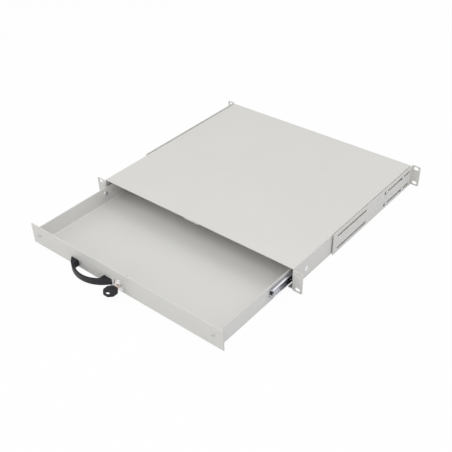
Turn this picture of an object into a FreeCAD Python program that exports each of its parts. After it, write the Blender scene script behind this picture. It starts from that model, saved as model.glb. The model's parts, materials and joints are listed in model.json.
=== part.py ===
import FreeCAD, Part
import math
import os

# Sliding rack drawer, one rack unit high, drawn open. All sizes are in millimetres.
# +X is to the right seen from the front, +Y runs back into the rack and +Z is up.
# The origin is the centre of the front rack slots, on the back face of the front ears.

V = FreeCAD.Vector

# Rack standard
rack_span = 482.6
rack_slot_edge = 8.75
rack_slot_inset = 5.925
rack_slot_height = 7.0
rack_slot_length = 10.0
unit_height = 43.6

# Case, folded from one sheet
ear_width = 19.3
case_depth = 403.5
case_sheet = 1.5
case_bend = 1.0
flange_tray_gap = 0.5
rear_flange = 12.0
ear_top_drop = 1.0
ear_corner = 2.5
fold_relief = 1.0
fold_top_drop = 5.0

# Tray, folded from one sheet
slide_gap = 9.0
tray_rear_room = 22.5
tray_top_room = 7.5
tray_sheet = 1.2
tray_bend = 2.0
tray_lift = 0.9
tray_corner_gap = 0.3

# Front panel
panel_lift = 1.5
panel_top_gap = 0.2
panel_sheet = 2.0
panel_corner = 0.6
panel_edge_round = 1.4
panel_gap = 0.5
panel_screw_inset = 20.0
panel_screw_rise = 2.9
drawer_open = 176.0

# Ball slides
slide_lift = 3.4
slide_height = 17.0
slide_sheet = 1.2
slide_bend = 0.8
ball_diameter = 2.5
ball_play = 0.05
curl_angle = 50.0
curl_run = 0.2
channel_setback = 128.5
channel_rear_gap = 2.0
channel_lip_cut = 2.5
channel_rivet_inset = 39.5
channel_rivet_count = 3
adjust_hole = 3.2
adjust_hole_offset = 61.0
rail_setback = 4.0
rail_rear_gap = 19.5
rail_rivet_front = 35.0
rail_rivet_rear = 23.0
rail_rivet_count = 3
buffer_edge = 0.3
buffer_side_play = 0.5
buffer_clearance = 1.2
buffer_chamfer = 0.4
buffer_pin_diameter = 2.6
buffer_pin_proud = 0.4
cage_sheet = 0.6
cage_bend = 0.3
cage_web_gap = 0.35
cage_rail_gap = 2.0
cage_setback = 152.5
cage_length = 70.0
cage_ball_edge = 8.0
cage_ball_count = 4
cage_ball_play = 0.15

# Slide rivets
rivet_shank = 4.8
rivet_play = 0.1
rail_rivet_foot = 0.3
rail_rivet_rim = 0.8
rail_rivet_crown = 1.6
rail_rivet_head_height = 1.4
rivet_ring_rim = 2.6
rivet_ring_round = 0.6
rivet_ring_height = 1.0
rivet_wall = 0.6
rivet_mouth_flare = 1.7
rivet_mouth_depth = 1.2
rivet_bore_depth = 2.2
channel_rivet_rim = 2.8
channel_rivet_round = 0.9
channel_rivet_crown = 2.2
channel_rivet_edge_height = 0.96
channel_rivet_crown_height = 1.47
channel_rivet_head_height = 1.6

# Rear brackets
bracket_sheet = 1.5
bracket_bend = 1.0
bracket_gap = 1.8
bracket_edge_gap = 0.1
bracket_overlap = 285.0
bracket_overhang = 3.0
bracket_slot_play = 0.25
bracket_slot_length = 99.0
bracket_front_slot = 62.3
bracket_rear_slot = 63.0
bracket_row_edge = 8.5
bracket_ear_corner = 3.0
bracket_screw_setback = 101.5
bracket_screw_pitch = 63.3
clamp_gap = 0.1

# Screws and nuts
screw_shank = 4.0
screw_play = 0.15
screw_rim = 2.0
screw_head_height = 2.6
screw_crown = 0.78
screw_crown_round = 0.56
screw_recess = 4.2
screw_recess_width = 0.9
screw_recess_depth = 1.3
screw_proud = 1.3
panel_screw_rim = 1.6
nut_play = 0.05
nut_spigot_wall = 0.65
nut_shoulder = 0.8
nut_body_height = 2.2
spacer_lip = 0.25

# Bow handle
handle_offset = -68.2
handle_lift = 10.8
handle_span = 100.5
handle_rise = 25.0
handle_foot = 19.0
handle_bow = 4.0
handle_leg_depth = 10.0
handle_height = 12.0
handle_edge = 1.2
handle_inner_corner = 4.0
handle_screw_inset = 9.5
handle_hole_depth = 7.5
handle_hole_spare = 0.2

# Cam lock
lock_lift = 13.9
lock_plug_wall = 1.5
lock_barrel_wall = 2.5
lock_barrel_length = 16.0
lock_flat_depth = 1.1
lock_hole_play = 0.15
lock_bezel_reach = 3.0
lock_bezel_rim = 1.4
lock_bezel_height = 4.5
lock_bezel_slope = 1.9
lock_bezel_chamfer = 0.3
lock_nose_wall = 2.0
lock_collar_lip = 1.0
lock_collar_height = 1.0
lock_play = 0.05
lock_face_recess = 0.1
lock_slot_floor = 1.3
lock_tail_wall = 1.7
lock_washer_lip = 0.7
lock_washer_height = 1.0
lock_nut_wall = 1.5
lock_nut_height = 3.5
cam_sheet = 1.8
cam_gap = 0.1
cam_hub_lip = 0.5
cam_arm_width = 10.0
cam_top_gap = 0.8
cam_crank_offset = 5.5
cam_crank_run = 3.0
cam_crank = 5.0
cam_tip_corner = 2.5
cam_bend = 1.0
cam_washer_lip = 2.3
cam_washer_height = 1.0
cam_screw_shank = 3.0
cam_screw_rim = 2.3
cam_screw_round = 0.95
cam_screw_head_height = 2.4
cam_screw_depth = 5.5
keeper_half_width = 16.0
keeper_sheet = 1.5
keeper_bend = 0.8
keeper_drop = 4.6
keeper_run = 6.0
keeper_cam_gap = 0.5

# Key
key_head_size = 24.0
key_head_thick = 3.2
key_head_corner = 3.5
key_head_edge = 0.6
key_head_gap = 3.5
key_hole_length = 10.0
key_hole_width = 6.0
key_hole_forward = 6.0
key_blade_width = 8.0
key_blade_thick = 2.2
key_blade_in_head = 7.0
key_blade_play = 0.15
key_tip_play = 0.3
key_deep_cut = 1.2
key_shallow_cut = 0.6
key_cut_pitch = 2.6
key_cut_first = 1.8
key_cut_count = 4
key_tip_chamfer = 1.6

# Case and tray, worked out from the sizes above
case_half = rack_span / 2 - ear_width
case_low = -unit_height / 2
case_high = unit_height / 2
case_front = -case_sheet
case_rear = case_front + case_depth
case_inside = case_half - case_sheet
bottom_flange = case_sheet + slide_gap - flange_tray_gap
ear_top = case_high - ear_top_drop
rack_slot_x = rack_span / 2 - rack_slot_edge
rack_slot_levels = (case_low + rack_slot_inset, case_high - rack_slot_inset)
tray_half = case_inside - slide_gap
tray_low = case_low + tray_lift
tray_high = case_high - case_sheet - tray_top_room
panel_back = case_front - panel_gap - drawer_open
panel_front = panel_back - panel_sheet
panel_half = case_half
panel_low = tray_low + panel_lift
panel_high = case_high - panel_top_gap
panel_middle = (panel_low + panel_high) / 2
panel_screw_place = panel_half - panel_screw_inset
panel_screw_level = panel_middle + panel_screw_rise
tray_front = panel_back
tray_length = case_depth - case_sheet + panel_gap - tray_rear_room
tray_rear = tray_front + tray_length
wall_inner_face = tray_front + tray_sheet

# Slides, worked out
slide_level = (tray_low + tray_high) / 2 + slide_lift
ball_radius = ball_diameter / 2
race_radius = ball_radius + ball_play
ball_level = slide_height / 2 - slide_sheet - race_radius
ball_offset = slide_gap / 2
channel_front = panel_front + channel_setback
channel_length = tray_rear - channel_rear_gap - channel_front
channel_rivet_pitch = (channel_length - 2 * channel_rivet_inset) / (channel_rivet_count - 1)
channel_rivet_places = [
    channel_front + channel_rivet_inset + i * channel_rivet_pitch for i in range(channel_rivet_count)
]
rail_front = case_front + rail_setback
rail_length = case_depth - rail_setback - rail_rear_gap
rail_rivet_pitch = (rail_length - rail_rivet_front - rail_rivet_rear) / (rail_rivet_count - 1)
rail_rivet_places = [
    rail_front + rail_rivet_front + i * rail_rivet_pitch for i in range(rail_rivet_count)
]
rail_flange = ball_level - race_radius
buffer_diameter = 2 * (rail_flange - slide_sheet - buffer_side_play)
buffer_height = slide_gap - 2 * slide_sheet - rail_rivet_head_height - buffer_clearance
buffer_place = channel_front + buffer_edge + buffer_diameter / 2
cage_reach = slide_gap - slide_sheet - cage_rail_gap
cage_start = rail_front + cage_setback - drawer_open / 2
cage_ball_pitch = (cage_length - 2 * cage_ball_edge) / (cage_ball_count - 1)
ball_places = [cage_start + cage_ball_edge + i * cage_ball_pitch for i in range(cage_ball_count)]

# Brackets and screws, worked out
bracket_inside = case_half + bracket_gap
bracket_outside = bracket_inside + bracket_sheet
bracket_start = case_rear - bracket_overlap
bracket_reach = case_rear + bracket_overhang
bracket_half_height = unit_height / 2 - bracket_edge_gap
bracket_row_rise = bracket_half_height - bracket_row_edge
bracket_rows = (slide_level - bracket_row_rise, slide_level + bracket_row_rise)
bracket_slot_places = (bracket_start + bracket_front_slot, bracket_reach - bracket_rear_slot)
bracket_slot_width = screw_shank + 2 * bracket_slot_play
bracket_screw_first = case_rear - bracket_screw_setback
bracket_screw_places = (bracket_screw_first, bracket_screw_first + bracket_screw_pitch)
screw_hole = screw_shank + 2 * screw_play
screw_head = screw_shank + 2 * screw_rim
panel_screw_head = screw_shank + 2 * panel_screw_rim
nut_bore = screw_shank + 2 * nut_play
nut_spigot = nut_bore + 2 * nut_spigot_wall
nut_body = nut_spigot + 2 * nut_shoulder
spacer_diameter = screw_head + 2 * spacer_lip
bracket_grip = clamp_gap + bracket_sheet + bracket_gap + case_sheet
bracket_screw_length = bracket_grip + nut_body_height + screw_proud
panel_screw_length = panel_sheet + tray_sheet + nut_body_height + screw_proud
handle_screw_length = tray_sheet + panel_sheet + handle_hole_depth - handle_hole_spare

# Handle, lock and key, worked out
handle_level = panel_low + handle_lift
handle_screw_reach = handle_span / 2 - handle_screw_inset
handle_screw_places = (handle_offset - handle_screw_reach, handle_offset + handle_screw_reach)
lock_level = panel_low + lock_lift
lock_face = panel_front - lock_bezel_height
plug_face = lock_face + lock_face_recess
barrel_end = panel_front + lock_barrel_length
cam_front = barrel_end + cam_gap
tail_end = cam_front + cam_sheet - cam_gap
lock_plug_diameter = key_blade_width + 2 * lock_plug_wall
lock_collar = lock_plug_diameter + 2 * lock_collar_lip
lock_barrel = lock_plug_diameter + 2 * lock_barrel_wall
lock_flat = lock_barrel - 2 * lock_flat_depth
lock_bezel = lock_barrel + 2 * lock_bezel_reach
lock_bezel_nose = lock_collar + 2 * lock_nose_wall
lock_washer = lock_barrel + 2 * lock_washer_lip
lock_nut_flats = lock_barrel + 2 * lock_nut_wall
lock_tail = cam_screw_shank + 2 * lock_tail_wall
lock_slot_end = tail_end - cam_screw_depth - lock_slot_floor
cam_hub = lock_barrel + 2 * cam_hub_lip
cam_reach = case_high - case_sheet - cam_top_gap - lock_level
cam_crank_start = cam_hub / 2 + cam_crank_offset
cam_washer = lock_tail + 2 * cam_washer_lip
cam_tip_level = cam_front - cam_crank
keeper_back = cam_tip_level + drawer_open - keeper_cam_gap
cam_screw_head = cam_screw_shank + 2 * cam_screw_rim
key_head_centre = lock_face - key_head_gap - key_head_size / 2


# Helpers for profiles and holes

def placed(plane, a, b, level):
    """Point of a profile: a and b are its first and second axes, level lies across it."""
    if plane == "xz":
        return V(a, level, b)
    if plane == "yz":
        return V(level, a, b)
    return V(a, b, level)


def corner_points(here, before, after, radius):
    """Start, middle and end of the arc that rounds one corner of a profile."""
    if radius <= 0:
        return here, here, here
    back = (before - here).normalize()
    ahead = (after - here).normalize()
    half = back.getAngle(ahead) / 2
    reach = radius / math.tan(half)
    bisector = (back + ahead).normalize()
    middle = here + bisector * (radius / math.sin(half) - radius)
    return here + back * reach, middle, here + ahead * reach


def rounded_wire(plane, corners, level):
    """Closed wire through the corners (a, b, radius), each rounded by its own radius."""
    points = [placed(plane, a, b, level) for a, b, radius in corners]
    count = len(points)
    arcs = []
    for i in range(count):
        arcs.append(corner_points(points[i], points[i - 1], points[(i + 1) % count], corners[i][2]))
    edges = []
    for i in range(count):
        start, middle, end = arcs[i]
        if corners[i][2] > 0:
            edges.append(Part.Arc(start, middle, end).toShape())
        following = arcs[(i + 1) % count][0]
        if end.distanceToPoint(following) > 1e-6:
            edges.append(Part.LineSegment(end, following).toShape())
    return Part.Wire(edges)


def prism(plane, corners, level, length):
    """Solid with a rounded profile, from level onwards by length across its plane."""
    face = Part.Face(rounded_wire(plane, corners, level))
    return face.extrude(placed(plane, 0, 0, length))


def sheet_corners(path, thickness):
    """Profile of a folded sheet: its face follows path, its thickness lies to the left of it."""
    count = len(path)
    points = [V(a, b, 0) for a, b, radius in path]
    runs = [(points[i + 1] - points[i]).normalize() for i in range(count - 1)]
    normals = [V(-run.y, run.x, 0) for run in runs]
    near = []
    far = []
    for i in range(count):
        inner = path[i][2]
        if i == 0 or i == count - 1:
            shift = normals[min(i, count - 2)] * thickness
            near_radius = 0
            far_radius = 0
        else:
            first = normals[i - 1]
            second = normals[i]
            shift = (first + second) * (thickness / (1 + first.dot(second)))
            turns_left = runs[i - 1].cross(runs[i]).z > 0
            near_radius = inner + thickness if turns_left else inner
            far_radius = inner if turns_left else inner + thickness
        near.append((points[i].x, points[i].y, near_radius))
        far.append((points[i].x + shift.x, points[i].y + shift.y, far_radius))
    return near + far[::-1]


def bent_sheet(plane, path, thickness, level, length):
    """Folded sheet of one profile. Each path corner gives its inside bend radius."""
    return prism(plane, sheet_corners(path, thickness), level, length)


def block(x0, x1, y0, y1, z0, z1):
    return Part.makeBox(x1 - x0, y1 - y0, z1 - z0, V(x0, y0, z0))


def slot(plane, a, b, length, width, level, depth):
    """Cutter with round ends, its length along the profile's first axis."""
    radius = width / 2
    corners = [
        (a - length / 2, b - radius, radius),
        (a + length / 2, b - radius, radius),
        (a + length / 2, b + radius, radius),
        (a - length / 2, b + radius, radius),
    ]
    return prism(plane, corners, level, depth)


def turned(profile, base, direction):
    """Solid of revolution of the (radius, height) points, its axis from base along direction."""
    points = [V(radius, 0, height) for radius, height in profile]
    wire = Part.makePolygon(points + [points[0]])
    solid = Part.Face(wire).revolve(V(0, 0, 0), V(0, 0, 1), 360)
    turn = FreeCAD.Rotation(V(0, 0, 1), direction)
    solid.Placement = FreeCAD.Placement(base, turn)
    return solid


def rod(diameter, base, direction, length):
    return Part.makeCylinder(diameter / 2, length, base, direction)


def mirrored(shape):
    return shape.mirror(V(0, 0, 0), V(1, 0, 0))


def joined(shapes):
    return shapes[0].fuse(shapes[1:]).removeSplitter()


def both_sides(shape):
    return [shape, mirrored(shape)]


# Fasteners

def pan_screw(base, outward, length, head_diameter):
    """Pan head screw: base is under the head, outward points from it to the head's top."""
    radius = head_diameter / 2
    head = turned(
        [
            (0, 0),
            (radius, 0),
            (radius, screw_head_height - 2 * screw_crown),
            (radius - screw_crown_round, screw_head_height - screw_crown),
            (radius / 2, screw_head_height - screw_crown / 4),
            (0, screw_head_height),
        ],
        base,
        outward,
    )
    shank = rod(screw_shank, base, outward * -1, length)
    screw = head.fuse(shank)
    half = screw_recess / 2
    width = screw_recess_width / 2
    low = screw_head_height - screw_recess_depth
    cross = block(-half, half, -width, width, low, screw_head_height)
    cross = cross.fuse(block(-width, width, -half, half, low, screw_head_height))
    cross.Placement = FreeCAD.Placement(base, FreeCAD.Rotation(V(0, 0, 1), outward))
    return screw.cut(cross)


def clinch_nut(sheet_face, into, sheet):
    """Nut pressed into a sheet: sheet_face is on the face its body stands on."""
    body = rod(nut_body, sheet_face, into, nut_body_height)
    spigot = rod(nut_spigot, sheet_face - into * sheet, into, sheet)
    bore = rod(nut_bore, sheet_face - into * sheet, into, sheet + nut_body_height)
    return body.fuse(spigot).cut(bore).removeSplitter()


# Case

def case_shell():
    fold = case_bend + case_sheet
    body_start = case_front + fold
    body_end = case_rear - fold
    fold_top = case_high - fold_top_drop
    wrap = bent_sheet(
        "xz",
        [
            (case_half - bottom_flange, case_low, 0),
            (case_half, case_low, case_bend),
            (case_half, case_high, case_bend),
            (-case_half, case_high, case_bend),
            (-case_half, case_low, case_bend),
            (-case_half + bottom_flange, case_low, 0),
        ],
        case_sheet,
        body_start,
        body_end - body_start,
    )
    front_edge = bent_sheet(
        "xz",
        [
            (case_half, fold_top + fold_relief, 0),
            (case_half, case_high, case_bend),
            (-case_half, case_high, case_bend),
            (-case_half, fold_top + fold_relief, 0),
        ],
        case_sheet,
        case_front,
        2 * fold,
    )
    back_half = case_half - fold
    back = bent_sheet(
        "yz",
        [
            (case_rear - rear_flange, case_low, 0),
            (case_rear, case_low, case_bend),
            (case_rear, case_high, case_bend),
            (body_end - fold, case_high, 0),
        ],
        case_sheet,
        -back_half,
        2 * back_half,
    )
    ear_fold = bent_sheet(
        "xy",
        [
            (case_inside, body_start + fold, 0),
            (case_inside, case_front, case_bend),
            (rack_span / 2 - fold, case_front, 0),
        ],
        case_sheet,
        case_low + fold,
        fold_top - case_low - fold,
    )
    ear = prism(
        "xz",
        [
            (case_half + case_bend, case_low, 0),
            (rack_span / 2, case_low, ear_corner),
            (rack_span / 2, ear_top, ear_corner),
            (case_half + case_bend, ear_top, 0),
        ],
        case_front,
        case_sheet,
    )
    side_end = block(case_inside, case_half, body_end - fold, case_rear, case_low + fold, case_high - fold)
    pieces = [wrap, front_edge, back]
    for piece in (ear_fold, ear, side_end):
        pieces += both_sides(piece)
    return joined(pieces).cut(case_holes())


def case_holes():
    holes = []
    for z in rack_slot_levels:
        holes.append(slot("xz", rack_slot_x, z, rack_slot_length, rack_slot_height, case_front, case_sheet))
    for y in rail_rivet_places:
        base = V(case_inside, y, slide_level)
        holes.append(rod(rivet_shank + rivet_play, base, V(1, 0, 0), case_sheet))
    for y in bracket_screw_places:
        for z in bracket_rows:
            holes.append(rod(nut_spigot, V(case_inside, y, z), V(1, 0, 0), case_sheet))
    return [half for hole in holes for half in both_sides(hole)]


def lock_keeper():
    """Angle welded under the cover, its leg down in front of the cam of the closed drawer."""
    top = case_high - case_sheet
    return bent_sheet(
        "yz",
        [
            (keeper_back, top - keeper_drop, 0),
            (keeper_back, top, keeper_bend),
            (keeper_back - keeper_run, top, 0),
        ],
        keeper_sheet,
        -keeper_half_width,
        2 * keeper_half_width,
    )


def bracket_nuts():
    nuts = []
    for y in bracket_screw_places:
        for z in bracket_rows:
            nuts.append(clinch_nut(V(case_inside, y, z), V(-1, 0, 0), case_sheet))
    return nuts


def bracket_spacers():
    rings = []
    height = bracket_gap - clamp_gap
    for y in bracket_screw_places:
        for z in bracket_rows:
            base = V(case_half, y, z)
            ring = rod(spacer_diameter, base, V(1, 0, 0), height)
            rings.append(ring.cut(rod(screw_hole, base, V(1, 0, 0), height)))
    return rings


def bracket_screws():
    screws = []
    for y in bracket_screw_places:
        for z in bracket_rows:
            base = V(bracket_outside + clamp_gap, y, z)
            screws.append(pan_screw(base, V(1, 0, 0), bracket_screw_length, screw_head))
    return screws


# Rear brackets

def rear_bracket():
    low = -bracket_half_height
    sheet = bent_sheet(
        "xy",
        [
            (rack_span / 2, bracket_reach, 0),
            (bracket_inside, bracket_reach, bracket_bend),
            (bracket_inside, bracket_start, 0),
        ],
        bracket_sheet,
        low,
        2 * bracket_half_height,
    )
    rounded = prism(
        "xz",
        [
            (bracket_inside, low, 0),
            (rack_span / 2, low, bracket_ear_corner),
            (rack_span / 2, -low, bracket_ear_corner),
            (bracket_inside, -low, 0),
        ],
        bracket_start,
        bracket_reach - bracket_start,
    )
    cutters = []
    for z in bracket_rows:
        for y in bracket_slot_places:
            length = bracket_slot_length
            cutters.append(slot("yz", y, z, length, bracket_slot_width, bracket_inside, bracket_sheet))
    for z in rack_slot_levels:
        y = bracket_reach - bracket_sheet
        cutters.append(slot("xz", rack_slot_x, z, rack_slot_length, rack_slot_height, y, bracket_sheet))
    return sheet.common(rounded).cut(cutters)


# Ball slides: u runs from the tray wall out to the case side, w is the height above the slide level

def curl(sign):
    """Corner and tip of the curled lip, on the face that the sheet's path follows."""
    turn = math.radians(curl_angle)
    outside = race_radius + slide_sheet
    corner_u = ball_offset + outside * math.tan(turn / 2)
    tip_u = ball_offset + outside * math.sin(turn) + curl_run * math.cos(turn)
    tip_w = ball_level + outside * math.cos(turn) - curl_run * math.sin(turn)
    return (corner_u, sign * slide_height / 2), (tip_u, sign * tip_w)


def slide_point(point, radius):
    return tray_half + point[0], slide_level + point[1], radius


def drawer_channel():
    top_corner, top_tip = curl(1)
    low_corner, low_tip = curl(-1)
    half = slide_height / 2
    path = [
        slide_point(top_tip, 0),
        slide_point(top_corner, race_radius),
        slide_point((0, half), slide_bend),
        slide_point((0, -half), slide_bend),
        slide_point(low_corner, race_radius),
        slide_point(low_tip, 0),
    ]
    channel = bent_sheet("xz", path, slide_sheet, channel_front, channel_length)
    inside = tray_half + slide_sheet
    low = slide_level - slide_height
    high = slide_level + slide_height
    lip_front = block(inside, case_inside, channel_front, channel_front + channel_lip_cut, low, high)
    holes = [lip_front]
    holes.append(rod(buffer_pin_diameter, V(tray_half, buffer_place, slide_level), V(1, 0, 0), slide_sheet))
    for y in channel_rivet_places:
        holes.append(rod(rivet_shank + rivet_play, V(tray_half, y, slide_level), V(1, 0, 0), slide_sheet))
    y = channel_front + adjust_hole_offset
    holes.append(rod(adjust_hole, V(tray_half, y, slide_level), V(1, 0, 0), slide_sheet))
    return channel.cut(holes)


def channel_buffer():
    """Round rubber stop on the channel's web, small enough to run inside the fixed rail."""
    radius = buffer_diameter / 2
    top = buffer_height
    bore = buffer_pin_diameter / 2
    profile = [
        (bore, 0),
        (radius, 0),
        (radius, top - buffer_chamfer),
        (radius - buffer_chamfer, top),
        (bore, top),
    ]
    return turned(profile, V(tray_half + slide_sheet, buffer_place, slide_level), V(1, 0, 0))


def buffer_pin():
    radius = buffer_pin_diameter / 2
    top = slide_sheet + buffer_height + buffer_pin_proud
    profile = [(0, 0), (radius, 0), (radius, top - buffer_pin_proud), (radius / 2, top), (0, top)]
    return turned(profile, V(tray_half, buffer_place, slide_level), V(1, 0, 0))


def fixed_rail():
    turn = math.radians(curl_angle)
    flange = rail_flange
    corner_u = ball_offset - race_radius * math.tan(turn / 2)
    tip_u = ball_offset - race_radius * math.sin(turn) - curl_run * math.cos(turn)
    tip_w = ball_level - race_radius * math.cos(turn) + curl_run * math.sin(turn)
    path = [
        slide_point((tip_u, -tip_w), 0),
        slide_point((corner_u, -flange), race_radius),
        slide_point((slide_gap, -flange), slide_bend),
        slide_point((slide_gap, flange), slide_bend),
        slide_point((corner_u, flange), race_radius),
        slide_point((tip_u, tip_w), 0),
    ]
    rail = bent_sheet("xz", path, slide_sheet, rail_front, rail_length)
    holes = []
    web = case_inside - slide_sheet
    for y in rail_rivet_places:
        holes.append(rod(rivet_shank + rivet_play, V(web, y, slide_level), V(1, 0, 0), slide_sheet))
    return rail.cut(holes)


def ball_cage():
    web = slide_sheet + cage_web_gap
    arm = ball_level + cage_sheet / 2
    path = [
        slide_point((cage_reach, arm), 0),
        slide_point((web, arm), cage_bend),
        slide_point((web, -arm), cage_bend),
        slide_point((cage_reach, -arm), 0),
    ]
    cage = bent_sheet("xz", path, cage_sheet, cage_start, cage_length)
    holes = []
    for y in ball_places:
        base = V(tray_half + ball_offset, y, slide_level - slide_height / 2)
        holes.append(rod(ball_diameter + 2 * cage_ball_play, base, V(0, 0, 1), slide_height))
    return cage.cut(holes)


def slide_balls():
    balls = []
    for y in ball_places:
        for w in (-ball_level, ball_level):
            centre = V(tray_half + ball_offset, y, slide_level + w)
            balls.append(Part.makeSphere(ball_radius, centre))
    return balls


def rail_rivets():
    """Tubular rivets: low head in the rail, rolled ring with an open mouth on the case side."""
    rivets = []
    head = rail_rivet_head_height
    grip = slide_sheet + case_sheet
    top = grip + rivet_ring_height
    shank = rivet_shank / 2
    rim = shank + rail_rivet_rim
    ring = shank + rivet_ring_rim
    bore = shank - rivet_wall
    profile = [
        (0, -head),
        (rim - rail_rivet_crown, -head),
        (rim, -head / 3),
        (shank + rail_rivet_foot, 0),
        (shank, 0),
        (shank, grip),
        (ring, grip),
        (ring, grip + rivet_ring_height / 2),
        (ring - rivet_ring_round, top),
        (bore + rivet_mouth_flare, top),
        (bore, top - rivet_mouth_depth),
        (bore, top - rivet_bore_depth),
        (0, top - rivet_bore_depth),
    ]
    for y in rail_rivet_places:
        rivets.append(turned(profile, V(case_inside - slide_sheet, y, slide_level), V(1, 0, 0)))
    return rivets


def channel_rivets():
    """Rivets with a low domed head in the tray, flush with the channel's web."""
    rivets = []
    grip = tray_sheet + slide_sheet
    shank = rivet_shank / 2
    rim = shank + channel_rivet_rim
    profile = [
        (0, -channel_rivet_head_height),
        (rim - channel_rivet_crown, -channel_rivet_crown_height),
        (rim - channel_rivet_round, -channel_rivet_edge_height),
        (rim, 0),
        (shank, 0),
        (shank, grip),
        (0, grip),
    ]
    for y in channel_rivet_places:
        rivets.append(turned(profile, V(tray_half - tray_sheet, y, slide_level), V(1, 0, 0)))
    return rivets


# Tray and front panel

def tray():
    fold = tray_bend + tray_sheet
    inside = tray_half - tray_sheet
    end_half = inside - tray_corner_gap
    walls = bent_sheet(
        "xz",
        [
            (-tray_half, tray_high, 0),
            (-tray_half, tray_low, tray_bend),
            (tray_half, tray_low, tray_bend),
            (tray_half, tray_high, 0),
        ],
        tray_sheet,
        tray_front + fold,
        tray_length - 2 * fold,
    )
    ends = bent_sheet(
        "yz",
        [
            (tray_front, tray_high, 0),
            (tray_front, tray_low, tray_bend),
            (tray_rear, tray_low, tray_bend),
            (tray_rear, tray_high, 0),
        ],
        tray_sheet,
        -(tray_half - fold),
        2 * (tray_half - fold),
    )
    pieces = [walls, ends]
    for start in (tray_front, tray_rear - tray_sheet):
        wing = block(tray_half - 2 * fold, end_half, start, start + tray_sheet, tray_low + fold, tray_high)
        pieces += both_sides(wing)
    cheek = block(inside, tray_half, tray_front, tray_rear, tray_low + fold, tray_high)
    pieces += both_sides(cheek)
    holes = []
    for y in channel_rivet_places:
        base = V(inside, y, slide_level)
        holes += both_sides(rod(rivet_shank + rivet_play, base, V(1, 0, 0), tray_sheet))
    y = channel_front + adjust_hole_offset
    holes += both_sides(rod(adjust_hole, V(inside, y, slide_level), V(1, 0, 0), tray_sheet))
    for x in (-panel_screw_place, panel_screw_place):
        holes.append(rod(nut_spigot, V(x, tray_front, panel_screw_level), V(0, 1, 0), tray_sheet))
    for x in handle_screw_places:
        holes.append(rod(screw_hole, V(x, tray_front, handle_level), V(0, 1, 0), tray_sheet))
    holes.append(lock_hole(tray_front, tray_sheet))
    return joined(pieces).cut(holes)


def front_panel():
    plate = prism(
        "xz",
        [
            (-panel_half, panel_low, panel_corner),
            (panel_half, panel_low, panel_corner),
            (panel_half, panel_high, panel_corner),
            (-panel_half, panel_high, panel_corner),
        ],
        panel_front,
        panel_sheet,
    )
    front_top = [edge for edge in plate.Edges if is_front_top(edge)]
    plate = plate.makeFillet(panel_edge_round, front_top)
    holes = [lock_hole(panel_front, panel_sheet)]
    for x in (-panel_screw_place, panel_screw_place):
        holes.append(rod(screw_hole, V(x, panel_front, panel_screw_level), V(0, 1, 0), panel_sheet))
    for x in handle_screw_places:
        holes.append(rod(screw_hole, V(x, panel_front, handle_level), V(0, 1, 0), panel_sheet))
    return plate.cut(holes)


def is_front_top(edge):
    box = edge.BoundBox
    return box.YMax < panel_front + 0.01 and box.ZMin > panel_high - panel_corner - 0.01


def panel_screws():
    screws = []
    for x in (-panel_screw_place, panel_screw_place):
        base = V(x, panel_front, panel_screw_level)
        screws.append(pan_screw(base, V(0, -1, 0), panel_screw_length, panel_screw_head))
    return screws


def panel_nuts():
    places = (-panel_screw_place, panel_screw_place)
    level = panel_screw_level
    return [clinch_nut(V(x, wall_inner_face, level), V(0, 1, 0), tray_sheet) for x in places]


# Bow handle

def handle_point(a, depth):
    return V(handle_offset + a, panel_front - depth, handle_level - handle_height / 2)


def handle():
    half = handle_span / 2
    opening = half - handle_foot
    outer = Part.Arc(handle_point(-half, 0), handle_point(0, handle_rise), handle_point(half, 0)).toShape()
    inner = Part.Arc(
        handle_point(opening, handle_leg_depth),
        handle_point(0, handle_rise - handle_bow),
        handle_point(-opening, handle_leg_depth),
    ).toShape()
    lines = [
        Part.makeLine(handle_point(half, 0), handle_point(opening, 0)),
        Part.makeLine(handle_point(opening, 0), handle_point(opening, handle_leg_depth)),
        Part.makeLine(handle_point(-opening, handle_leg_depth), handle_point(-opening, 0)),
        Part.makeLine(handle_point(-opening, 0), handle_point(-half, 0)),
    ]
    wire = Part.Wire([outer, lines[0], lines[1], inner, lines[2], lines[3]])
    bow = Part.Face(wire).extrude(V(0, 0, handle_height))
    inner_corners = [edge for edge in bow.Edges if is_inner_corner(edge)]
    bow = bow.makeFillet(handle_inner_corner, inner_corners)
    rims = [edge for edge in bow.Edges if is_rim(edge)]
    bow = bow.makeFillet(handle_edge, rims)
    holes = []
    for x in handle_screw_places:
        holes.append(rod(screw_shank, V(x, panel_front, handle_level), V(0, -1, 0), handle_hole_depth))
    return bow.cut(holes)


def is_inner_corner(edge):
    """Upright edge where a leg meets the inside of the bow."""
    centre = edge.CenterOfMass
    upright = abs(edge.Vertexes[0].Point.z - edge.Vertexes[-1].Point.z) > handle_height / 2
    return upright and abs(centre.y - (panel_front - handle_leg_depth)) < 0.01


def is_rim(edge):
    """Edge of the top or bottom face that doesn't lie against the panel."""
    box = edge.BoundBox
    flat = box.ZLength < 0.01
    return flat and box.YMin < panel_front - 0.01


def handle_screws():
    screws = []
    for x in handle_screw_places:
        base = V(x, wall_inner_face, handle_level)
        screws.append(pan_screw(base, V(0, 1, 0), handle_screw_length, screw_head))
    return screws


# Cam lock

def lock_outline(play, level, length):
    """Round barrel with two flats, with play all round."""
    barrel = rod(lock_barrel + 2 * play, V(0, level, lock_level), V(0, 1, 0), length)
    half = lock_flat / 2 + play
    tall = lock_barrel
    flats = block(-half, half, level, level + length, lock_level - tall, lock_level + tall)
    return barrel.common(flats)


def lock_hole(level, length):
    return lock_outline(lock_hole_play, level, length)


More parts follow.
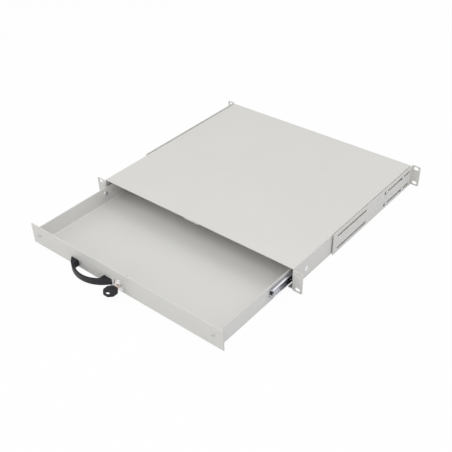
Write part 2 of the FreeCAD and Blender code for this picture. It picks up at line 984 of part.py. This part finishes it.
def lock_body():
    """Bezel in front of the panel, flatted barrel behind it, stepped bore for the plug."""
    rim = lock_bezel / 2
    nose = lock_bezel_nose / 2
    height = lock_bezel_height
    chamfer = lock_bezel_chamfer
    bezel = turned(
        [
            (0, 0),
            (rim, 0),
            (rim, lock_bezel_rim - chamfer),
            (rim - chamfer, lock_bezel_rim),
            ((rim + nose) / 2, height - lock_bezel_slope),
            (nose, height - chamfer),
            (nose - chamfer, height),
            (0, height),
        ],
        V(0, panel_front, lock_level),
        V(0, -1, 0),
    )
    barrel = lock_outline(0, panel_front, lock_barrel_length)
    bore = rod(
        lock_plug_diameter + 2 * lock_play,
        V(0, lock_face, lock_level),
        V(0, 1, 0),
        barrel_end - lock_face,
    )
    seat = rod(
        lock_collar + 2 * lock_play,
        V(0, lock_face, lock_level),
        V(0, 1, 0),
        lock_face_recess + lock_collar_height + lock_play,
    )
    return bezel.fuse(barrel).cut([bore, seat]).removeSplitter()


def lock_washer_ring():
    """Washer that keeps the nut clear of the bend under the tray's front wall."""
    ring = rod(lock_washer, V(0, wall_inner_face, lock_level), V(0, 1, 0), lock_washer_height)
    return ring.cut(lock_hole(wall_inner_face, lock_washer_height))


def lock_nut():
    """Thin hexagon nut, one flat down, that clamps the lock to the panel."""
    reach = lock_nut_flats / 2 / math.cos(math.radians(30))
    corners = []
    for i in range(6):
        angle = math.radians(60 * i)
        corners.append((reach * math.cos(angle), lock_level + reach * math.sin(angle), 0))
    start = wall_inner_face + lock_washer_height
    nut = prism("xz", corners, start, lock_nut_height)
    return nut.cut(rod(lock_barrel + 2 * lock_play, V(0, start, lock_level), V(0, 1, 0), lock_nut_height))


def lock_plug():
    base = V(0, plug_face, lock_level)
    length = barrel_end - plug_face
    plug = rod(lock_plug_diameter, base, V(0, 1, 0), length)
    collar = rod(lock_collar, base, V(0, 1, 0), lock_collar_height)
    half = lock_tail / 2
    tail = block(-half, half, barrel_end, tail_end, lock_level - half, lock_level + half)
    slot_half = key_blade_width / 2 + key_blade_play
    slot_thick = key_blade_thick / 2 + key_blade_play
    keyway = block(
        -slot_half,
        slot_half,
        plug_face,
        lock_slot_end,
        lock_level - slot_thick,
        lock_level + slot_thick,
    )
    hole = rod(cam_screw_shank, V(0, tail_end, lock_level), V(0, -1, 0), cam_screw_depth)
    return joined([plug, collar, tail]).cut([keyway, hole])


def lock_cam():
    """Cranked lever: flat hub on the plug's tail, arm set forward to catch the keeper."""
    crank_end = cam_crank_start + cam_crank_run
    tip_level = cam_tip_level
    strip = bent_sheet(
        "xy",
        [
            (-cam_hub / 2, cam_front, 0),
            (cam_crank_start, cam_front, cam_bend),
            (crank_end, tip_level, cam_bend),
            (cam_reach, tip_level, 0),
        ],
        cam_sheet,
        lock_level - cam_hub / 2,
        cam_hub,
    )
    depth = cam_crank + 2 * cam_sheet
    start = tip_level - cam_sheet
    hub = rod(cam_hub, V(0, start, lock_level), V(0, 1, 0), depth + cam_sheet)
    arm = prism(
        "xz",
        [
            (0, lock_level - cam_arm_width / 2, 0),
            (cam_reach, lock_level - cam_arm_width / 2, cam_tip_corner),
            (cam_reach, lock_level + cam_arm_width / 2, cam_tip_corner),
            (0, lock_level + cam_arm_width / 2, 0),
        ],
        start,
        depth + cam_sheet,
    )
    half = lock_tail / 2 + lock_play
    square = block(-half, half, cam_front, cam_front + cam_sheet, lock_level - half, lock_level + half)
    return strip.common(hub.fuse(arm)).cut(square).removeSplitter()


def cam_washer_ring():
    base = V(0, cam_front + cam_sheet, lock_level)
    ring = rod(cam_washer, base, V(0, 1, 0), cam_washer_height)
    return ring.cut(rod(cam_screw_shank + 2 * cam_gap, base, V(0, 1, 0), cam_washer_height))


def cam_screw():
    base = V(0, cam_front + cam_sheet + cam_washer_height, lock_level)
    radius = cam_screw_head / 2
    height = cam_screw_head_height
    head = turned(
        [(0, 0), (radius, 0), (radius, height / 2), (radius - cam_screw_round, height), (0, height)],
        base,
        V(0, 1, 0),
    )
    grip = cam_washer_height + cam_gap + cam_screw_depth - 2 * cam_gap
    shank = rod(cam_screw_shank - 2 * lock_play, base, V(0, -1, 0), grip)
    half = screw_recess / 2
    width = screw_recess_width / 2
    top = base.y + height
    depth = screw_recess_depth
    cross = block(-half, half, top - depth, top, lock_level - width, lock_level + width)
    cross = cross.fuse(block(-width, width, top - depth, top, lock_level - half, lock_level + half))
    return head.fuse(shank).cut(cross)


# Key

def key_blade():
    """Flat blade with cuts on both edges, from inside the head into the plug."""
    start = key_head_centre + key_head_size / 2 - key_blade_in_head
    tip = lock_slot_end - key_tip_play
    half = key_blade_width / 2
    outline = [
        (-half, start, 0),
        (half, start, 0),
        (half, tip - key_tip_chamfer, 0),
        (half - key_tip_chamfer, tip, 0),
        (-half + key_tip_chamfer, tip, 0),
        (-half, tip - key_tip_chamfer, 0),
    ]
    blade = prism("xy", outline, lock_level - key_blade_thick / 2, key_blade_thick)
    cuts = []
    for i in range(key_cut_count):
        depth = key_deep_cut if i % 2 else key_shallow_cut
        centre = tip - key_tip_chamfer - key_cut_first - i * key_cut_pitch
        notch = [(half, centre - depth, 0), (half, centre + depth, 0), (half - depth, centre, 0)]
        cutter = prism("xy", notch, lock_level - key_blade_thick / 2, key_blade_thick)
        cuts += both_sides(cutter)
    return blade.cut(cuts)


def key_head():
    """Moulded eight-sided head with an oval eye."""
    centre = key_head_centre
    reach = key_head_size / 2 / math.cos(math.radians(22.5))
    corners = []
    for i in range(8):
        angle = math.radians(45 * i + 22.5)
        corners.append((reach * math.cos(angle), centre + reach * math.sin(angle), key_head_corner))
    low = lock_level - key_head_thick / 2
    head = prism("xy", corners, low, key_head_thick)
    rims = [edge for edge in head.Edges if edge.BoundBox.ZLength < 0.01]
    head = head.makeFillet(key_head_edge, rims)
    eye = slot("xy", 0, centre - key_hole_forward, key_hole_length, key_hole_width, low, key_head_thick)
    edge_y = centre + key_head_size / 2
    half = key_blade_width / 2
    thick = key_blade_thick / 2
    pocket = block(-half, half, edge_y - key_blade_in_head, edge_y, lock_level - thick, lock_level + thick)
    return head.cut([eye, pocket])


# Every node, by the body that carries it

def case_nodes():
    right = {
        "fixed_rail": [fixed_rail()],
        "rail_rivets": rail_rivets(),
        "bracket_nuts": bracket_nuts(),
        "bracket_spacers": bracket_spacers(),
        "bracket_screws": bracket_screws(),
    }
    return {"case_shell": [case_shell()], "lock_keeper": [lock_keeper()]}, right


def drawer_nodes():
    right = {
        "drawer_channel": [drawer_channel()],
        "channel_rivets": channel_rivets(),
        "channel_buffer": [channel_buffer()],
        "buffer_pin": [buffer_pin()],
    }
    single = {
        "tray": [tray()],
        "front_panel": [front_panel()],
        "panel_screws": panel_screws(),
        "panel_nuts": panel_nuts(),
        "handle": [handle()],
        "handle_screws": handle_screws(),
        "lock_body": [lock_body()],
        "lock_washer": [lock_washer_ring()],
        "lock_nut": [lock_nut()],
        "lock_plug": [lock_plug()],
        "lock_cam": [lock_cam()],
        "cam_washer": [cam_washer_ring()],
        "cam_screw": [cam_screw()],
        "key_blade": [key_blade()],
        "key_head": [key_head()],
    }
    return single, right


def loose_nodes():
    right = {
        "rear_bracket": [rear_bracket()],
        "ball_cage": [ball_cage()],
        "slide_balls": slide_balls(),
    }
    return {}, right


def write_node(name, solids):
    shape = solids[0] if len(solids) == 1 else Part.makeCompound(solids)
    shape.exportStep(os.path.join("parts", name + ".step"))


def main():
    os.makedirs("parts", exist_ok=True)
    for single, right in (case_nodes(), drawer_nodes(), loose_nodes()):
        for name, solids in single.items():
            write_node(name, solids)
        for name, solids in right.items():
            write_node(name + "_right", solids)
            write_node(name + "_left", [mirrored(solid) for solid in solids])


main()
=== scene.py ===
import json
import math

import bmesh
import bpy
from mathutils import Matrix, Vector


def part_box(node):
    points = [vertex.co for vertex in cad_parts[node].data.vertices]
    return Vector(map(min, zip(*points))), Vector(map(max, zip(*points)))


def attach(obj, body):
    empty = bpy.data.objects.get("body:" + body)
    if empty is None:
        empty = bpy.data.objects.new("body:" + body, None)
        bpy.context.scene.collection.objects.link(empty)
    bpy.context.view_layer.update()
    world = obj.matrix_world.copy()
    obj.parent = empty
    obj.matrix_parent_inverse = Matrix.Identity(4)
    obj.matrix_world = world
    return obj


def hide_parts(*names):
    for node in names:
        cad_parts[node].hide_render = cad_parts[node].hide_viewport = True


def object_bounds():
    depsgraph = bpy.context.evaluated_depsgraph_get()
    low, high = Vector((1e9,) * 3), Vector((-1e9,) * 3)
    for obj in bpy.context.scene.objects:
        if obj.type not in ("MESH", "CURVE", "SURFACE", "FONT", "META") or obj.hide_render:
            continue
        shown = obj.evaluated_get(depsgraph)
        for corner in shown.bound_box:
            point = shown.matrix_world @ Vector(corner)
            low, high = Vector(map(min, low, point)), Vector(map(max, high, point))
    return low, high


# Camera, fitted to the photo
camera_azimuth = math.radians(40.172)
camera_elevation = math.radians(36.434)
camera_roll = math.radians(-1.632)
camera_place = (0.72077, -0.75707, 0.77747)
camera_lens = 57.683
camera_near = 0.01
sensor_width = 36.0

# Light: each lamp's place, size, power and colour
ambient_low = (0.825, 0.832, 0.905)
ambient_high = (0.59, 0.59, 0.585)
lamp_aim = (0, 0.1, 0)
lamps = {
    "key": ((0.9, 1.5, 1.9), 1.6, 12.5, (1.0, 0.985, 0.955)),
    "fill": ((-1.4, -2.0, 0.8), 1.4, 7.6, (1.0, 0.985, 0.95)),
    "near": ((0.12, -0.42, 0.92), 0.6, 2.25, (1.0, 0.985, 0.955)),
}
floor_reach = 6.0
floor_white = 0.965
floor_greys = ((0.80, 0.80, 0.80), (0.82, 0.82, 0.82))
floor_cloud = {"scale": 2.0, "detail": 2.0}
white = (1.0, 1.0, 1.0, 1.0)

# Noise: the part of its range that a colour or a number is spread over
noise_low = 0.3
noise_high = 0.7
unstretched = (1.0, 1.0, 1.0)

# Soft edges, on every finish
bevel_samples = 6

# Paint
paint_edge = 0.0004
paint_cloud = {"scale": 9.0, "detail": 2.0}
paint_peel = {"scale": 900.0, "detail": 4.0, "rough": 0.6}
paint_peel_depth = 0.0002
paint_rough = (0.40, 0.52)
paint_gloss = 0.35
paint_spread = 0.02

# Plating: its lines run along a piece (drawn, cut) or are even (turned, polished)
plating_edge = 0.0002
plating_cloud = {"scale": 40.0, "detail": 3.0}
plating_lines = {"scale": 30.0, "detail": 4.0, "rough": 0.6}
plating_lines_depth = 0.0001
plating_spread = 0.04
drawn = (60.0, 4.0, 60.0)
turned = (8.0, 8.0, 8.0)
polished = (6.0, 6.0, 6.0)
cut = (60.0, 6.0, 60.0)

# Plastic
plastic_edge = 0.0003
plastic_cloud = {"scale": 60.0, "detail": 2.0}
plastic_grain = {"detail": 3.0, "rough": 0.55}
plastic_grain_depth = 0.00012
plastic_spread = 0.15

# Cover edge: what lies in front of the old line, between the ears, moves back to the new one
cover_old_front = -0.00149
cover_new_front = 0.0009
cover_half = 0.2221
cover_edge_low = 0.0177

# Lock nose: radius and height above the panel of each ring, before and after
lock_rings = (
    (0.00975, 0.0026, 0.0079, 0.0014),
    (0.0085, 0.0042, 0.0076, 0.0042),
    (0.0082, 0.0045, 0.0073, 0.0045),
)
lock_rim = 0.011
lock_front = 0.0045
ring_play = 0.00005

# Key head
key_half = 0.012
key_thick = 0.005
key_corner = 0.0035
key_edge = 0.0008
key_eye_length = 0.0086
key_eye_width = 0.0054
key_eye_chamfer = 0.0013
key_eye_forward = 0.006
key_sharp_angle = math.radians(32)
key_sides = 8
corner_steps = 6
edge_steps = 4
end_steps = 10

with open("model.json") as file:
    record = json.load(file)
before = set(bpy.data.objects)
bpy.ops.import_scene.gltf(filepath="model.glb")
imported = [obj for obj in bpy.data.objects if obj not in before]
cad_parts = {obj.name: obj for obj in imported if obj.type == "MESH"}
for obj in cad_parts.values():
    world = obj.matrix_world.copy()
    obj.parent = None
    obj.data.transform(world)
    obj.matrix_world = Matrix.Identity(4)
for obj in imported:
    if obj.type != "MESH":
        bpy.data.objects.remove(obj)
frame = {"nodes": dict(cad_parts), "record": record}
cad_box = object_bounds()


def add_node(tree, kind, inputs=None, **settings):
    """A new node with its settings, and values or links for its inputs."""
    node = tree.nodes.new(kind)
    for name, value in settings.items():
        setattr(node, name, value)
    for name, value in (inputs or {}).items():
        if isinstance(value, bpy.types.NodeSocket):
            tree.links.new(value, node.inputs[name])
        else:
            node.inputs[name].default_value = value
    return node


def place_node(tree, stretch):
    """The point's place on the object, in metres, stretched along the axes."""
    coordinates = add_node(tree, "ShaderNodeTexCoord").outputs["Object"]
    if stretch == unstretched:
        return coordinates
    mapping = add_node(tree, "ShaderNodeMapping", {"Vector": coordinates, "Scale": stretch})
    return mapping.outputs["Vector"]


def noise(tree, scale, detail, stretch=unstretched, rough=0.5):
    """Noise with that many cells to a metre."""
    place = place_node(tree, stretch)
    inputs = {"Vector": place, "Scale": scale, "Detail": detail, "Roughness": rough}
    return add_node(tree, "ShaderNodeTexNoise", inputs).outputs["Fac"]


def between(tree, factor, low, high):
    """A number that goes from low to high with the factor."""
    spans = {"From Min": noise_low, "From Max": noise_high, "To Min": low, "To Max": high}
    return add_node(tree, "ShaderNodeMapRange", {"Value": factor, **spans}).outputs["Result"]


def ramp(tree, factor, low, high, start=0.0, end=1.0):
    """A colour that goes from low to high as the factor goes from start to end."""
    node = add_node(tree, "ShaderNodeValToRGB", {"Fac": factor})
    for element, place, colour in zip(node.color_ramp.elements, (start, end), (low, high)):
        element.position = place
        element.color = (*colour, 1.0)
    return node.outputs["Color"]


def tint(tree, factor, colour, spread):
    """The colour, made darker and lighter by noise."""
    dark = tuple(part * (1 - spread) for part in colour)
    light = tuple(min(1.0, part * (1 + spread)) for part in colour)
    return ramp(tree, factor, dark, light, noise_low, noise_high)


def add_math(tree, operation, first, second):
    """The result of a sum, product or other operation."""
    return add_node(tree, "ShaderNodeMath", {0: first, 1: second}, operation=operation).outputs[0]


def bump(tree, height, strength, distance, edge):
    """A bump normal over rounded edges."""
    rounded = add_node(tree, "ShaderNodeBevel", {"Radius": edge}, samples=bevel_samples)
    inputs = {"Height": height, "Strength": strength, "Distance": distance}
    inputs["Normal"] = rounded.outputs["Normal"]
    return add_node(tree, "ShaderNodeBump", inputs).outputs["Normal"]


def start_material(name):
    """A new node material: itself, its tree and its shader."""
    material = bpy.data.materials.new(name)
    material.use_nodes = True
    return material, material.node_tree, material.node_tree.nodes["Principled BSDF"]


def finish_material(tree, shader, colour, rough, normal):
    """The links that each finish has."""
    for name, value in (("Base Color", colour), ("Roughness", rough), ("Normal", normal)):
        tree.links.new(value, shader.inputs[name])


def powder_coat(name, colour, peel=0.12):
    """Fine textured powder coat: a slight cloud in its colour, orange peel and soft edges."""
    material, tree, shader = start_material(name)
    cloud = noise(tree, **paint_cloud)
    speck = noise(tree, **paint_peel)
    mixed = add_math(tree, "MULTIPLY", add_math(tree, "ADD", cloud, speck), 0.5)
    shader.inputs["Specular IOR Level"].default_value = paint_gloss
    finish_material(
        tree,
        shader,
        tint(tree, mixed, colour, paint_spread),
        between(tree, speck, *paint_rough),
        bump(tree, speck, peel, paint_peel_depth, paint_edge),
    )
    return material


def plated(name, colour, rough, stretch, strength=0.05):
    """Plated steel: fine lines along or across it, a slight cloud in its colour."""
    material, tree, shader = start_material(name)
    cloud = noise(tree, **plating_cloud)
    lines = noise(tree, stretch=stretch, **plating_lines)
    shader.inputs["Metallic"].default_value = 1.0
    finish_material(
        tree,
        shader,
        tint(tree, cloud, colour, plating_spread),
        between(tree, lines, *rough),
        bump(tree, lines, strength, plating_lines_depth, plating_edge),
    )
    return material


def moulded(name, colour, rough, grain, strength, gloss=0.5):
    """Moulded plastic with a fine grain, of that many cells to a metre."""
    material, tree, shader = start_material(name)
    cells = noise(tree, grain, **plastic_grain)
    cloud = noise(tree, **plastic_cloud)
    shader.inputs["Specular IOR Level"].default_value = gloss
    finish_material(
        tree,
        shader,
        tint(tree, cloud, colour, plastic_spread),
        between(tree, cells, *rough),
        bump(tree, cells, strength, plastic_grain_depth, plastic_edge),
    )
    return material


paints = {
    "case_paint": powder_coat("case powder coat", (0.692, 0.686, 0.652)),
    "tray_paint": powder_coat("tray powder coat", (0.70, 0.696, 0.672)),
    "panel_paint": powder_coat("panel powder coat", (0.676, 0.671, 0.634)),
    "screw_paint": powder_coat("screw paint", (0.66, 0.655, 0.64), peel=0.05),
    "slide_zinc": plated("slide zinc", (0.51, 0.515, 0.55), (0.22, 0.27), drawn, strength=0.008),
    "rivet_steel": plated("rivet zinc", (0.80, 0.81, 0.83), (0.36, 0.48), turned),
    "screw_zinc": plated("screw zinc", (0.62, 0.62, 0.65), (0.20, 0.34), turned),
    "cage_steel": plated("cage strip", (0.48, 0.48, 0.46), (0.34, 0.50), drawn),
    "ball_steel": plated("polished balls", (0.70, 0.70, 0.72), (0.05, 0.10), polished, strength=0.01),
    "lock_chrome": plated("lock chrome", (0.70, 0.68, 0.685), (0.09, 0.16), polished, strength=0.02),
    "lock_brass": plated("lock plug", (0.88, 0.76, 0.68), (0.30, 0.42), polished, strength=0.04),
    "key_steel": plated("key nickel", (0.60, 0.59, 0.58), (0.16, 0.30), cut, strength=0.04),
    "spacer_nylon": moulded("spacer nylon", (0.012, 0.012, 0.013), (0.40, 0.50), 1800.0, 0.1),
    "buffer_rubber": moulded("buffer rubber", (0.014, 0.014, 0.015), (0.45, 0.60), 1500.0, 0.1),
    "black_plastic": moulded(
        "black plastic", (0.0110, 0.0105, 0.0150), (0.38, 0.52), 2600.0, 0.25, gloss=0.34
    ),
    # The slides' pins: white, a painted highlight that stands in for the glint on their metal heads.
    "pin_painted_highlight": moulded("pin painted highlight", (0.86, 0.86, 0.88), (0.30, 0.40), 900.0, 0.05),
}


def dress_nodes():
    """The material of each CAD node, from its slot in the record. The slides' pins are painted white:
    a painted highlight for the glint on their metal heads.
    """
    for part in frame["record"]["subparts"]:
        piece = frame["nodes"][part["node"]]
        piece.data.materials.clear()
        piece.data.materials.append(paints[part["material_slot"]])
    # Painted highlight: the pins are white so they stand in for the glint on their heads.
    for side in ("left", "right"):
        frame["nodes"]["buffer_pin_" + side].data.materials[0] = paints["pin_painted_highlight"]


def new_piece(name, data, body, slot, *nodes):
    """A piece of the scene that rides on a body and stands for CAD nodes."""
    piece = bpy.data.objects.new(name, data)
    bpy.context.scene.collection.objects.link(piece)
    data.materials.clear()
    data.materials.append(paints[slot])
    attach(piece, body)
    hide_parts(*nodes)


def case_body():
    """The case shell, the front edge of its cover set back behind the ears' faces."""
    data = frame["nodes"]["case_shell"].data.copy()
    data.name = "case body"
    for vertex in data.vertices:
        place = vertex.co
        at_front = place.y < cover_old_front
        if at_front and abs(place.x) < cover_half and place.z > cover_edge_low:
            place.y = cover_new_front
    new_piece("case_body", data, "case", "case_paint", "case_shell")


def lock_bezel():
    """The lock body, its nose straight above a flat rim."""
    data = frame["nodes"]["lock_body"].data.copy()
    data.name = "lock bezel"
    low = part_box("lock_body")[0]
    level = low[2] + lock_rim
    panel = low[1] + lock_front
    for vertex in data.vertices:
        place = vertex.co
        radius = math.hypot(place.x, place.z - level)
        height = panel - place.y
        for old_radius, old_height, new_radius, new_height in lock_rings:
            if max(abs(radius - old_radius), abs(height - old_height)) < ring_play:
                scale = new_radius / radius
                place.x *= scale
                place.z = level + (place.z - level) * scale
                place.y = panel - new_height
                break
    if data.has_custom_normals:
        data.attributes.remove(data.attributes["custom_normal"])
    for face in data.polygons:
        face.use_smooth = True
    new_piece("lock_bezel", data, "drawer", "lock_chrome", "lock_body")


def eight_sided(centre, inset, level):
    """Outline of the key head, its corners round, drawn in by the inset."""
    half_turn = math.pi / key_sides
    reach = (key_half - key_corner) / math.cos(half_turn)
    points = []
    for corner in range(key_sides):
        angle = half_turn * (2 * corner + 1)
        for step in range(corner_steps + 1):
            turn = angle + half_turn * (2 * step / corner_steps - 1)
            radius = key_corner - inset
            points.append(
                (
                    centre.x + reach * math.cos(angle) + radius * math.cos(turn),
                    centre.y + reach * math.sin(angle) + radius * math.sin(turn),
                    centre.z + level,
                )
            )
    return points


def oval(centre, grow, level):
    """Outline of the key's eye, made wider by the chamfer."""
    radius = key_eye_width / 2 + grow
    straight = (key_eye_length - key_eye_width) / 2
    points = []
    for side, start in ((1, -math.pi / 2), (-1, math.pi / 2)):
        for step in range(end_steps + 1):
            turn = start + math.pi * step / end_steps
            points.append(
                (
                    centre.x + side * straight + radius * math.cos(turn),
                    centre.y - key_eye_forward + radius * math.sin(turn),
                    centre.z + level,
                )
            )
    return points


def skin(mesh, rings):
    """Faces between rings of points. Returns the edges of the first and the last ring."""
    made = [[mesh.verts.new(point) for point in ring] for ring in rings]
    count = len(made[0])
    for lower, upper in zip(made, made[1:]):
        for i in range(count):
            j = (i + 1) % count
            mesh.faces.new((lower[i], lower[j], upper[j], upper[i]))
    ends = (made[0], made[-1])
    return [[mesh.edges.get((ring[i - 1], ring[i])) for i in range(count)] for ring in ends]


def key_bow():
    """The key's moulded head: eight sides, rounded edges and a dished oval eye."""
    low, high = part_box("key_head")
    centre = (Vector(low) + Vector(high)) / 2
    centre.y = low[1] + key_half
    half = key_thick / 2
    outside = []
    for side in (-1, 1):
        for step in range(edge_steps + 1):
            turn = math.pi / 2 * (step / edge_steps if side < 0 else 1 - step / edge_steps)
            inset = key_edge * (1 - math.sin(turn))
            level = side * (half - key_edge + key_edge * math.cos(turn))
            outside.append(eight_sided(centre, inset, level))
    eye = [
        oval(centre, key_eye_chamfer, -half),
        oval(centre, 0.0, key_eye_chamfer - half),
        oval(centre, 0.0, half - key_eye_chamfer),
        oval(centre, key_eye_chamfer, half),
    ]
    mesh = bmesh.new()
    for rim, eye_rim in zip(skin(mesh, outside), skin(mesh, eye)):
        bmesh.ops.triangle_fill(mesh, use_beauty=True, edges=rim + eye_rim)
    bmesh.ops.recalc_face_normals(mesh, faces=mesh.faces)
    for face in mesh.faces:
        face.smooth = True
    data = bpy.data.meshes.new("key bow")
    mesh.to_mesh(data)
    mesh.free()
    data.set_sharp_from_angle(angle=key_sharp_angle)
    new_piece("key_bow", data, "key", "black_plastic", "key_head")


def camera_frame():
    """The camera's matrix, from its angles and its place."""
    back = Vector(
        (
            math.sin(camera_azimuth) * math.cos(camera_elevation),
            -math.cos(camera_azimuth) * math.cos(camera_elevation),
            math.sin(camera_elevation),
        )
    )
    right = (-back).cross(Vector((0, 0, 1))).normalized()
    up = right.cross(-back)
    turned_right = math.cos(camera_roll) * right + math.sin(camera_roll) * up
    turned_up = -math.sin(camera_roll) * right + math.cos(camera_roll) * up
    matrix = Matrix((turned_right, turned_up, back)).transposed().to_4x4()
    matrix.translation = Vector(camera_place)
    return matrix


def add_camera():
    """The camera at the photo's angle."""
    data = bpy.data.cameras.new("camera")
    data.lens = camera_lens
    data.sensor_width = sensor_width
    data.sensor_fit = "HORIZONTAL"
    data.clip_start = camera_near
    camera = bpy.data.objects.new("camera", data)
    camera.matrix_world = camera_frame()
    bpy.context.scene.collection.objects.link(camera)
    bpy.context.scene.camera = camera


def add_lamp(name, place, size, power, colour):
    """A square soft lamp that points at the object's middle."""
    data = bpy.data.lights.new(name, "AREA")
    data.size = size
    data.energy = power
    data.color = colour
    lamp = bpy.data.objects.new(name, data)
    lamp.location = place
    aim = Vector(lamp_aim) - Vector(place)
    lamp.rotation_euler = aim.to_track_quat("-Z", "Y").to_euler()
    bpy.context.scene.collection.objects.link(lamp)


def is_seen(tree):
    """1 for what the camera sees, also in gloss and through glass."""
    path = add_node(tree, "ShaderNodeLightPath")
    seen = path.outputs["Is Camera Ray"]
    for ray in ("Is Glossy Ray", "Is Transmission Ray"):
        seen = add_math(tree, "MAXIMUM", seen, path.outputs[ray])
    return seen


def join_shaders(tree, output, factor, first, second):
    """The first shader, and the second by the factor, as the tree's surface."""
    inputs = {0: factor, 1: first.outputs[0], 2: second.outputs[0]}
    mix = add_node(tree, "ShaderNodeMixShader", inputs)
    add_node(tree, output, {"Surface": mix.outputs[0]})


def add_world():
    """White to the camera and in gloss, soft near-white light for the rest."""
    world = bpy.data.worlds.new("studio")
    bpy.context.scene.world = world
    world.use_nodes = True
    tree = world.node_tree
    tree.nodes.clear()
    direction = add_node(tree, "ShaderNodeTexCoord").outputs["Generated"]
    height = add_node(tree, "ShaderNodeSeparateXYZ", {"Vector": direction}).outputs["Z"]
    colour = ramp(tree, height, ambient_low, ambient_high)
    soft = add_node(tree, "ShaderNodeBackground", {"Color": colour, "Strength": 1.0})
    bright = add_node(tree, "ShaderNodeBackground", {"Color": white, "Strength": 1.0})
    join_shaders(tree, "ShaderNodeOutputWorld", is_seen(tree), soft, bright)


def add_floor():
    """The pale floor that the case stands on."""
    height = cad_box[0][2]
    sides = ((-1, -1), (1, -1), (1, 1), (-1, 1))
    corners = [(x * floor_reach, y * floor_reach, height) for x, y in sides]
    data = bpy.data.meshes.new("floor")
    data.from_pydata(corners, [], [(0, 1, 2, 3)])
    floor = bpy.data.objects.new("floor", data)
    bpy.context.scene.collection.objects.link(floor)
    material = bpy.data.materials.new("floor")
    material.use_nodes = True
    tree = material.node_tree
    tree.nodes.clear()
    cloud = noise(tree, **floor_cloud)
    colour = ramp(tree, cloud, *floor_greys, noise_low, noise_high)
    paint = add_node(tree, "ShaderNodeBsdfDiffuse", {"Color": colour})
    bright = add_node(tree, "ShaderNodeEmission", {"Color": white, "Strength": 1.0})
    amount = add_math(tree, "MULTIPLY", is_seen(tree), floor_white)
    join_shaders(tree, "ShaderNodeOutputMaterial", amount, paint, bright)
    data.materials.append(material)


dress_nodes()
case_body()
lock_bezel()
key_bow()
add_camera()
add_world()
for lamp_name, lamp in lamps.items():
    add_lamp(lamp_name, *lamp)
add_floor()
bpy.context.scene.view_settings.view_transform = "Standard"
